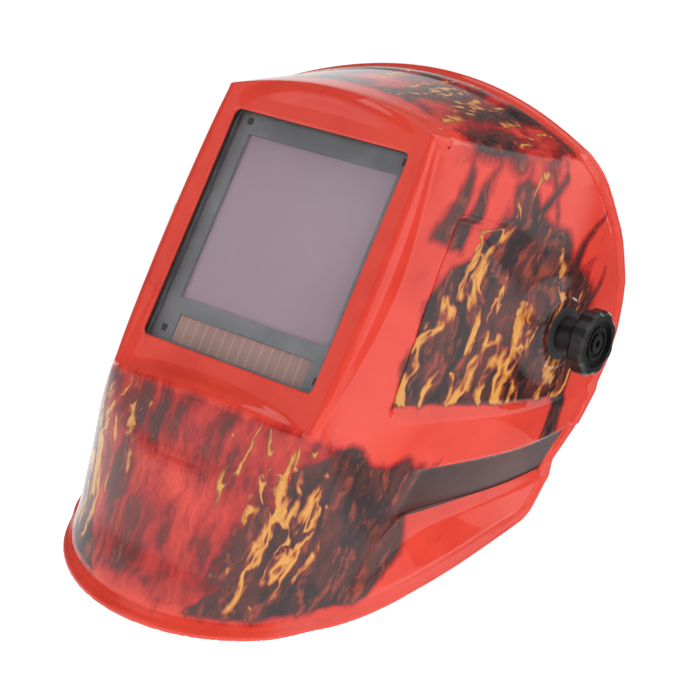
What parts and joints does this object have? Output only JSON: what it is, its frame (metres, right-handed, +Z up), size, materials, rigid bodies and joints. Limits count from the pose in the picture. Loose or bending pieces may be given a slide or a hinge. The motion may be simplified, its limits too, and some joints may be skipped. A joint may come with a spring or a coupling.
{
  "type": "welding helmet",
  "caption": "Auto-darkening welding helmet: flared shell with a large flat visor window, filter cartridge, side tension knobs and a ratchet headgear inside.",
  "frame": {"origin": "midpoint of the tilt axis, halfway between the two tension knobs", "axes": "+Z up as worn, -Y forward through the visor, +X to the wearer's left"},
  "size_m": [0.28, 0.264, 0.3338],
  "materials": {
    "shell_paint": null,
    "seal_rubber": "matte",
    "clear_cover": "clear polycarbonate, polished",
    "black_nylon": "fine moulded texture",
    "zinc_steel": "zinc plated",
    "sensor_black": "dark window",
    "solar_film": "brown photovoltaic film with fine cell lines",
    "filter_glass": "mauve interference coating",
    "shutter_glass": "liquid crystal laminate",
    "board_green": "solder mask",
    "display_clear": "liquid crystal display",
    "contact_brass": "bright",
    "cell_steel": "bright",
    "button_grey": "soft matte",
    "cap_grey": "fine texture",
    "washer_nylon": "smooth",
    "knob_black": "satin",
    "carrier_nylon": "satin",
    "headgear_nylon": "satin, lightly grained",
    "spring_steel": "bright",
    "pad_fabric": "brushed cotton over foam"
  },
  "bodies": {
    "headgear": {"headband": "headgear_nylon", "sweatband": "pad_fabric", "side_bracket_left": "headgear_nylon", "side_bracket_right": "headgear_nylon", "bracket_rivets": "zinc_steel", "band_keeper_left": "headgear_nylon", "band_keeper_right": "headgear_nylon", "crown_strap_left": "headgear_nylon", "crown_strap_right": "headgear_nylon", "crown_pins": "headgear_nylon"},
    "carriage": {"pivot_carrier_left": "carrier_nylon", "pivot_carrier_right": "carrier_nylon", "pivot_bolt_left": "zinc_steel", "pivot_bolt_right": "zinc_steel", "stop_arm_left": "carrier_nylon", "stop_arm_right": "carrier_nylon"},
    "shell": {"helmet_shell": "shell_paint", "window_gasket": "seal_rubber", "front_cover_lens": "clear_cover", "lens_holder": "black_nylon", "holder_screws": "zinc_steel", "filter_housing_front": "black_nylon", "light_sensors": "sensor_black", "solar_cell": "solar_film", "uv_ir_filter": "filter_glass", "lcd_shutter": "shutter_glass", "filter_housing_rear": "black_nylon", "inner_cover_lens": "clear_cover", "control_board": "board_green", "display_window": "display_clear", "battery_contacts": "contact_brass", "battery_left": "cell_steel", "battery_right": "cell_steel", "latch_screws": "zinc_steel", "magnifier_rail": "black_nylon"},
    "knob_left": {"knob_left": "knob_black", "knob_insert_left": "contact_brass", "friction_washer_left": "washer_nylon"},
    "knob_right": {"knob_right": "knob_black", "knob_insert_right": "contact_brass", "friction_washer_right": "washer_nylon"},
    "rear_band": {"rear_strap_left": "headgear_nylon", "rear_strap_right": "headgear_nylon", "ratchet_housing": "headgear_nylon", "ratchet_cover": "headgear_nylon", "detent_spring": "spring_steel", "nape_pad": "pad_fabric"},
    "size_knob": {"size_knob": "knob_black", "ratchet_pinion": "headgear_nylon"},
    "button_power": {"button_power": "button_grey"},
    "button_mode": {"button_mode": "button_grey"},
    "button_up": {"button_up": "button_grey"},
    "button_down": {"button_down": "button_grey"},
    "battery_cap_left": {"battery_cap_left": "cap_grey"},
    "battery_cap_right": {"battery_cap_right": "cap_grey"},
    "latch_left": {"retaining_latch_left": "black_nylon"},
    "latch_right": {"retaining_latch_right": "black_nylon"}
  },
  "joints": [
    {"name": "fore_aft_slide", "type": "slide", "parent": "headgear", "child": "carriage", "axis": [0, -1, 0], "range_m": [0, 0.015]},
    {"name": "shell_tilt", "type": "hinge", "parent": "carriage", "child": "shell", "pos_m": [0, 0, 0], "axis": [-1, 0, 0], "range_deg": [0, 60]},
    {"name": "knob_left_turn", "type": "hinge", "parent": "carriage", "child": "knob_left", "pos_m": [0.13, 0, 0], "axis": [1, 0, 0], "range_deg": [0, 360]},
    {"name": "knob_right_turn", "type": "hinge", "parent": "carriage", "child": "knob_right", "pos_m": [-0.13, 0, 0], "axis": [-1, 0, 0], "range_deg": [0, 360]},
    {"name": "band_size_slide", "type": "slide", "parent": "headgear", "child": "rear_band", "axis": [0, -0.9135, 0.4067], "range_m": [0, 0.016]},
    {"name": "size_knob_turn", "type": "hinge", "parent": "rear_band", "child": "size_knob", "pos_m": [0, 0.13627, -0.01908], "axis": [0, 0.9135, -0.4067], "range_deg": [0, 230]},
    {"name": "button_power_press", "type": "slide", "parent": "shell", "child": "button_power", "axis": [0, -1, 0], "range_m": [0, 0.0008], "stiffness_N_per_m": 700, "springref_m": -0.001},
    {"name": "button_mode_press", "type": "slide", "parent": "shell", "child": "button_mode", "axis": [0, -1, 0], "range_m": [0, 0.0008], "stiffness_N_per_m": 700, "springref_m": -0.001},
    {"name": "button_down_press", "type": "slide", "parent": "shell", "child": "button_down", "axis": [0, -1, 0], "range_m": [0, 0.0008], "stiffness_N_per_m": 700, "springref_m": -0.001},
    {"name": "button_up_press", "type": "slide", "parent": "shell", "child": "button_up", "axis": [0, -1, 0], "range_m": [0, 0.0008], "stiffness_N_per_m": 700, "springref_m": -0.001},
    {"name": "battery_cap_left_turn", "type": "hinge", "parent": "shell", "child": "battery_cap_left", "pos_m": [0.04, -0.081, -0.0705], "axis": [0, 1, 0], "range_deg": [0, 45]},
    {"name": "latch_left_turn", "type": "hinge", "parent": "shell", "child": "latch_left", "pos_m": [0.064, -0.077, 0.025], "axis": [0, 1, 0], "range_deg": [0, 90]},
    {"name": "battery_cap_right_turn", "type": "hinge", "parent": "shell", "child": "battery_cap_right", "pos_m": [-0.04, -0.081, -0.0705], "axis": [0, -1, 0], "range_deg": [0, 45]},
    {"name": "latch_right_turn", "type": "hinge", "parent": "shell", "child": "latch_right", "pos_m": [-0.064, -0.077, 0.025], "axis": [0, -1, 0], "range_deg": [0, 90]}
  ],
  "couplings": [
    {"joint": "size_knob_turn", "follows": "band_size_slide", "rad_per_m": 250}
  ]
}
